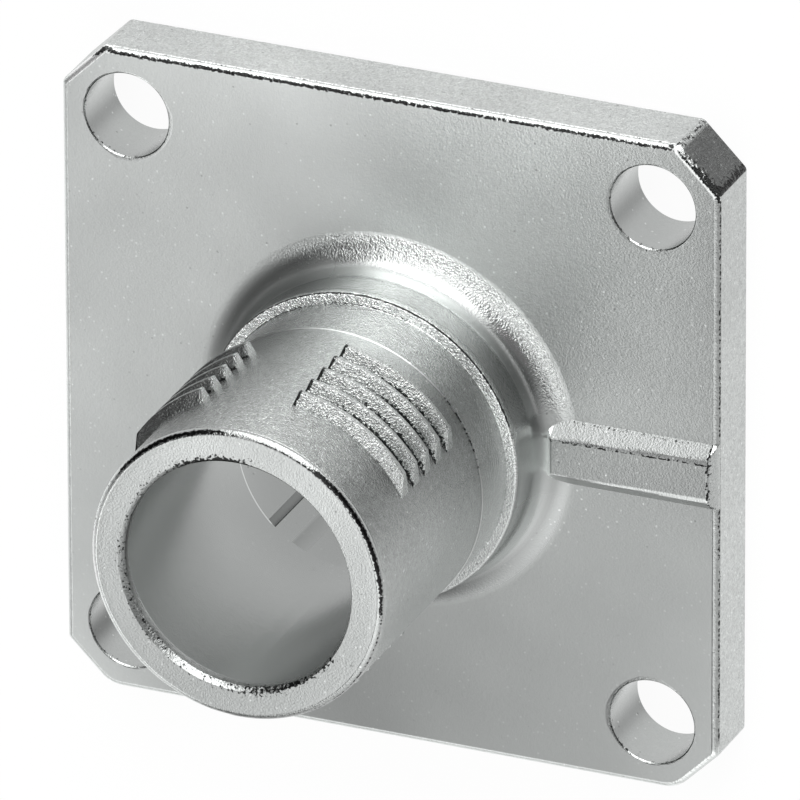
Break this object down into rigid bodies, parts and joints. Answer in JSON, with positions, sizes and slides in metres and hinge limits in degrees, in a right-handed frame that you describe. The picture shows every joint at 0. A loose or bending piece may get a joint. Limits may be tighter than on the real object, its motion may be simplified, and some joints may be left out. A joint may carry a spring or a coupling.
{
  "type": "circular connector flange housing",
  "caption": "Nickel-plated square-flange housing with a round barrel, an interrupted M12 thread, a through bore for the contact insert and a key rib.",
  "frame": {"origin": "centre of the flange's back face, on the axis of the barrel", "axes": "+Z along the barrel axis towards its open mating end; +X from the axis along the key rib; +Y completes the right-handed frame and is up in the picture"},
  "size_m": [0.025, 0.025, 0.0162],
  "materials": {
    "nickel_plate": "nickel-plated zinc die casting, satin with a fine cast grain"
  },
  "bodies": {
    "root": {"flange_housing": "nickel_plate"}
  },
  "joints": []
}
